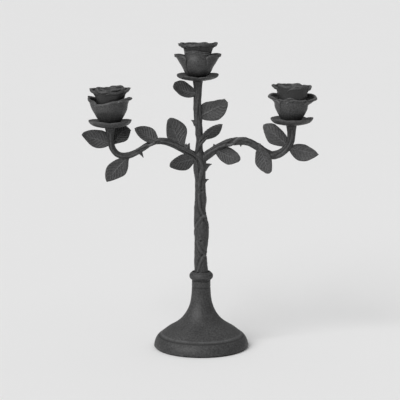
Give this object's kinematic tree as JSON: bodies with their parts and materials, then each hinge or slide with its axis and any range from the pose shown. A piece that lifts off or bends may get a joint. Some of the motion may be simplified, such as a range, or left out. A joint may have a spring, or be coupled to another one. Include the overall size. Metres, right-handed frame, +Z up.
{
  "type": "candelabrum",
  "caption": "Branching candelabrum in matt black cast metal: bell foot, twisting stem, side arms with leaves, and roses that hold taper candles.",
  "frame": {"origin": "centre of the foot, on the table", "axes": "+Z up the stem, +X towards the right-hand arm, +Y to the back"},
  "size_m": [0.2901, 0.118, 0.3794],
  "materials": {
    "cast_metal": "matt black paint over fine sand-cast grain",
    "cast_leaf": "matt black paint over cast veins, worn a little lighter on the raised lines",
    "cast_petal": "matt black paint, smoother than the branches",
    "plated_steel": "zinc plate",
    "felt": "black felt"
  },
  "bodies": {
    "frame": {"base_felt": "felt", "base_bell": "cast_metal", "neck_collar": "cast_metal", "tie_washer": "plated_steel", "tie_bolt": "plated_steel", "main_stem": "cast_metal", "arm_left": "cast_metal", "arm_right": "cast_metal", "leaf_left_1": "cast_leaf", "leaf_left_2": "cast_leaf", "leaf_left_3": "cast_leaf", "leaf_left_4": "cast_leaf", "leaf_left_5": "cast_leaf", "leaf_left_6": "cast_leaf", "leaf_top_1": "cast_leaf", "leaf_top_2": "cast_leaf", "leaf_top_3": "cast_leaf", "leaf_right_1": "cast_leaf", "leaf_right_2": "cast_leaf", "leaf_right_3": "cast_leaf", "leaf_right_4": "cast_leaf"},
    "pan_left": {"drip_pan_left": "cast_metal"},
    "rose_left": {"petal_cup_left": "cast_petal", "candle_cup_left": "cast_petal", "cup_stud_left": "plated_steel", "jam_nut_left": "plated_steel"},
    "pan_centre": {"drip_pan_centre": "cast_metal"},
    "rose_centre": {"petal_cup_centre": "cast_petal", "candle_cup_centre": "cast_petal", "cup_stud_centre": "plated_steel", "jam_nut_centre": "plated_steel"},
    "pan_right": {"drip_pan_right": "cast_metal"},
    "rose_right": {"petal_cup_right": "cast_petal", "candle_cup_right": "cast_petal", "cup_stud_right": "plated_steel", "jam_nut_right": "plated_steel"}
  },
  "joints": [
    {"name": "rose_left_lift", "type": "slide", "parent": "frame", "child": "pan_left", "axis": [0, 0, 1], "range_m": [0, 0.006]},
    {"name": "rose_left_turn", "type": "hinge", "parent": "pan_left", "child": "rose_left", "pos_m": [-0.1115, 0, 0.2753], "axis": [0, 0, 1], "range_deg": [0, 2700]},
    {"name": "rose_centre_lift", "type": "slide", "parent": "frame", "child": "pan_centre", "axis": [0, 0, 1], "range_m": [0, 0.006]},
    {"name": "rose_centre_turn", "type": "hinge", "parent": "pan_centre", "child": "rose_centre", "pos_m": [-0.0042, 0, 0.3329], "axis": [0, 0, 1], "range_deg": [0, 2700]},
    {"name": "rose_right_lift", "type": "slide", "parent": "frame", "child": "pan_right", "axis": [0, 0, 1], "range_m": [0, 0.006]},
    {"name": "rose_right_turn", "type": "hinge", "parent": "pan_right", "child": "rose_right", "pos_m": [0.1104, 0, 0.2784], "axis": [0, 0, 1], "range_deg": [0, 2700]}
  ],
  "couplings": [
    {"joint": "rose_left_lift", "follows": "rose_left_turn", "m_per_rad": 0.00012732},
    {"joint": "rose_centre_lift", "follows": "rose_centre_turn", "m_per_rad": 0.00012732},
    {"joint": "rose_right_lift", "follows": "rose_right_turn", "m_per_rad": 0.00012732}
  ]
}
